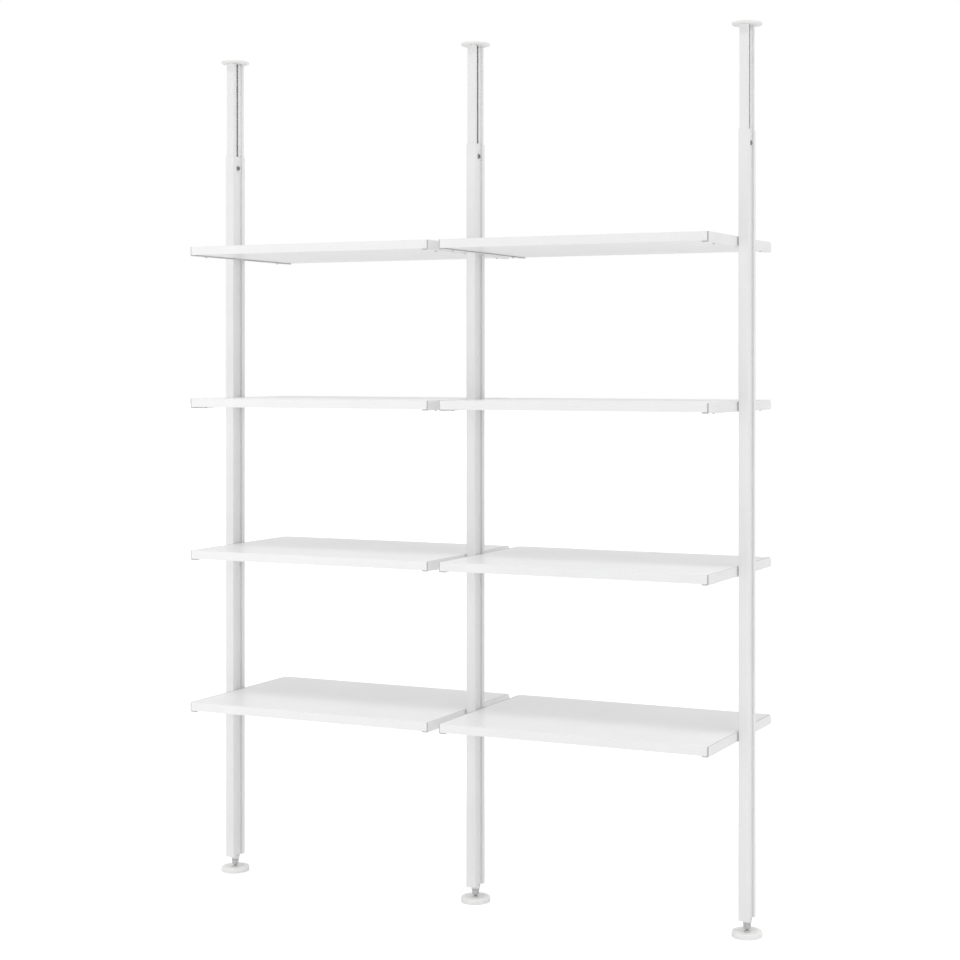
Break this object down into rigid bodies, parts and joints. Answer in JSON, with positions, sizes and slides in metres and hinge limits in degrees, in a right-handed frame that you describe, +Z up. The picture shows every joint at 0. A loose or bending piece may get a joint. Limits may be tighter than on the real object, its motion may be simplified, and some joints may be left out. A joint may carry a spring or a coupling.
{
  "type": "tension pole shelf unit",
  "caption": "White shelving unit clamped between floor and ceiling: telescopic posts on screw feet carry adjustable shelves whose brackets slide in side slots.",
  "frame": {"origin": "on the floor under the middle post's axis, which is the bottom centre of the bounding box", "axes": "+X to the right along the shelves, +Y from front to back, +Z up along the posts"},
  "size_m": [1.75, 0.51, 2.49],
  "materials": {
    "post_white": "satin white powder coat over an aluminium extrusion",
    "bracket_white": "satin white powder coat over bent steel sheet",
    "board_white": "smooth white melamine face and edging over particle board",
    "pad_white": "fine matte moulded white plastic",
    "plug_grey": "matte moulded light grey plastic",
    "zinc_steel": "satin zinc plated steel",
    "white_nylon": "matte natural white nylon"
  },
  "bodies": {
    "frame": {"lower_post_left": "post_white", "foot_plug_left": "plug_grey", "lock_plate_left": "zinc_steel", "lower_post_middle": "post_white", "foot_plug_middle": "plug_grey", "lock_plate_middle": "zinc_steel", "lower_post_right": "post_white", "foot_plug_right": "plug_grey", "lock_plate_right": "zinc_steel"},
    "shelf_left_1": {"board_left_1": "board_white", "bracket_left_1_left": "bracket_white", "bracket_left_1_right": "bracket_white"},
    "shelf_left_2": {"board_left_2": "board_white", "bracket_left_2_left": "bracket_white", "bracket_left_2_right": "bracket_white"},
    "shelf_left_3": {"board_left_3": "board_white", "bracket_left_3_left": "bracket_white", "bracket_left_3_right": "bracket_white"},
    "shelf_left_4": {"board_left_4": "board_white", "bracket_left_4_left": "bracket_white", "bracket_left_4_right": "bracket_white"},
    "shelf_right_1": {"board_right_1": "board_white", "bracket_right_1_left": "bracket_white", "bracket_right_1_right": "bracket_white"},
    "shelf_right_2": {"board_right_2": "board_white", "bracket_right_2_left": "bracket_white", "bracket_right_2_right": "bracket_white"},
    "shelf_right_3": {"board_right_3": "board_white", "bracket_right_3_left": "bracket_white", "bracket_right_3_right": "bracket_white"},
    "shelf_right_4": {"board_right_4": "board_white", "bracket_right_4_left": "bracket_white", "bracket_right_4_right": "bracket_white"},
    "mast_left": {"upper_post_left": "post_white", "ceiling_pad_left": "pad_white"},
    "lock_left": {"lock_screw_left": "zinc_steel"},
    "nut_left": {"foot_nut_left": "zinc_steel"},
    "rod_left": {"foot_rod_left": "zinc_steel"},
    "cup_left": {"ball_cup_left": "white_nylon"},
    "pad_left": {"floor_pad_left": "pad_white"},
    "mast_middle": {"upper_post_middle": "post_white", "ceiling_pad_middle": "pad_white"},
    "lock_middle": {"lock_screw_middle": "zinc_steel"},
    "nut_middle": {"foot_nut_middle": "zinc_steel"},
    "rod_middle": {"foot_rod_middle": "zinc_steel"},
    "cup_middle": {"ball_cup_middle": "white_nylon"},
    "pad_middle": {"floor_pad_middle": "pad_white"},
    "mast_right": {"upper_post_right": "post_white", "ceiling_pad_right": "pad_white"},
    "lock_right": {"lock_screw_right": "zinc_steel"},
    "nut_right": {"foot_nut_right": "zinc_steel"},
    "rod_right": {"foot_rod_right": "zinc_steel"},
    "cup_right": {"ball_cup_right": "white_nylon"},
    "pad_right": {"floor_pad_right": "pad_white"}
  },
  "joints": [
    {"name": "shelf_slide_left_1", "type": "slide", "parent": "frame", "child": "shelf_left_1", "axis": [0, 0, 1], "range_m": [-0.4, 0.2]},
    {"name": "shelf_slide_left_2", "type": "slide", "parent": "frame", "child": "shelf_left_2", "axis": [0, 0, 1], "range_m": [-0.2, 0.2]},
    {"name": "shelf_slide_left_3", "type": "slide", "parent": "frame", "child": "shelf_left_3", "axis": [0, 0, 1], "range_m": [-0.2, 0.2]},
    {"name": "shelf_slide_left_4", "type": "slide", "parent": "frame", "child": "shelf_left_4", "axis": [0, 0, 1], "range_m": [-0.2, 0.22]},
    {"name": "shelf_slide_right_1", "type": "slide", "parent": "frame", "child": "shelf_right_1", "axis": [0, 0, 1], "range_m": [-0.4, 0.2]},
    {"name": "shelf_slide_right_2", "type": "slide", "parent": "frame", "child": "shelf_right_2", "axis": [0, 0, 1], "range_m": [-0.2, 0.2]},
    {"name": "shelf_slide_right_3", "type": "slide", "parent": "frame", "child": "shelf_right_3", "axis": [0, 0, 1], "range_m": [-0.2, 0.2]},
    {"name": "shelf_slide_right_4", "type": "slide", "parent": "frame", "child": "shelf_right_4", "axis": [0, 0, 1], "range_m": [-0.2, 0.22]},
    {"name": "mast_slide_left", "type": "slide", "parent": "frame", "child": "mast_left", "axis": [0, 0, 1], "range_m": [-0.27, 1.01]},
    {"name": "lock_turn_left", "type": "hinge", "parent": "frame", "child": "lock_left", "pos_m": [-0.8236, 0, 2.1615], "axis": [1, 0, 0], "range_deg": [0, 720]},
    {"name": "nut_turn_left", "type": "hinge", "parent": "frame", "child": "nut_left", "pos_m": [-0.833, 0, 0.0285], "axis": [0, 0, 1], "range_deg": [-617.15, 6171.44]},
    {"name": "rod_slide_left", "type": "slide", "parent": "frame", "child": "rod_left", "axis": [0, 0, 1], "range_m": [-0.03, 0.003]},
    {"name": "cup_tilt_left", "type": "hinge", "parent": "rod_left", "child": "cup_left", "pos_m": [-0.833, 0, 0.0105], "axis": [1, 0, 0], "range_deg": [-7, 7]},
    {"name": "pad_tilt_left", "type": "hinge", "parent": "cup_left", "child": "pad_left", "pos_m": [-0.833, 0, 0.0105], "axis": [0, 1, 0], "range_deg": [-7, 7]},
    {"name": "mast_slide_middle", "type": "slide", "parent": "frame", "child": "mast_middle", "axis": [0, 0, 1], "range_m": [-0.27, 1.01]},
    {"name": "lock_turn_middle", "type": "hinge", "parent": "frame", "child": "lock_middle", "pos_m": [0.0094, 0, 2.1615], "axis": [1, 0, 0], "range_deg": [0, 720]},
    {"name": "nut_turn_middle", "type": "hinge", "parent": "frame", "child": "nut_middle", "pos_m": [0, 0, 0.0285], "axis": [0, 0, 1], "range_deg": [-617.15, 6171.44]},
    {"name": "rod_slide_middle", "type": "slide", "parent": "frame", "child": "rod_middle", "axis": [0, 0, 1], "range_m": [-0.03, 0.003]},
    {"name": "cup_tilt_middle", "type": "hinge", "parent": "rod_middle", "child": "cup_middle", "pos_m": [0, 0, 0.0105], "axis": [1, 0, 0], "range_deg": [-7, 7]},
    {"name": "pad_tilt_middle", "type": "hinge", "parent": "cup_middle", "child": "pad_middle", "pos_m": [0, 0, 0.0105], "axis": [0, 1, 0], "range_deg": [-7, 7]},
    {"name": "mast_slide_right", "type": "slide", "parent": "frame", "child": "mast_right", "axis": [0, 0, 1], "range_m": [-0.27, 1.01]},
    {"name": "lock_turn_right", "type": "hinge", "parent": "frame", "child": "lock_right", "pos_m": [0.8424, 0, 2.1615], "axis": [1, 0, 0], "range_deg": [0, 720]},
    {"name": "nut_turn_right", "type": "hinge", "parent": "frame", "child": "nut_right", "pos_m": [0.833, 0, 0.0285], "axis": [0, 0, 1], "range_deg": [-617.15, 6171.44]},
    {"name": "rod_slide_right", "type": "slide", "parent": "frame", "child": "rod_right", "axis": [0, 0, 1], "range_m": [-0.03, 0.003]},
    {"name": "cup_tilt_right", "type": "hinge", "parent": "rod_right", "child": "cup_right", "pos_m": [0.833, 0, 0.0105], "axis": [1, 0, 0], "range_deg": [-7, 7]},
    {"name": "pad_tilt_right", "type": "hinge", "parent": "cup_right", "child": "pad_right", "pos_m": [0.833, 0, 0.0105], "axis": [0, 1, 0], "range_deg": [-7, 7]}
  ],
  "couplings": [
    {"joint": "nut_turn_left", "follows": "rod_slide_left", "rad_per_m": -3590.4},
    {"joint": "nut_turn_middle", "follows": "rod_slide_middle", "rad_per_m": -3590.4},
    {"joint": "nut_turn_right", "follows": "rod_slide_right", "rad_per_m": -3590.4}
  ]
}
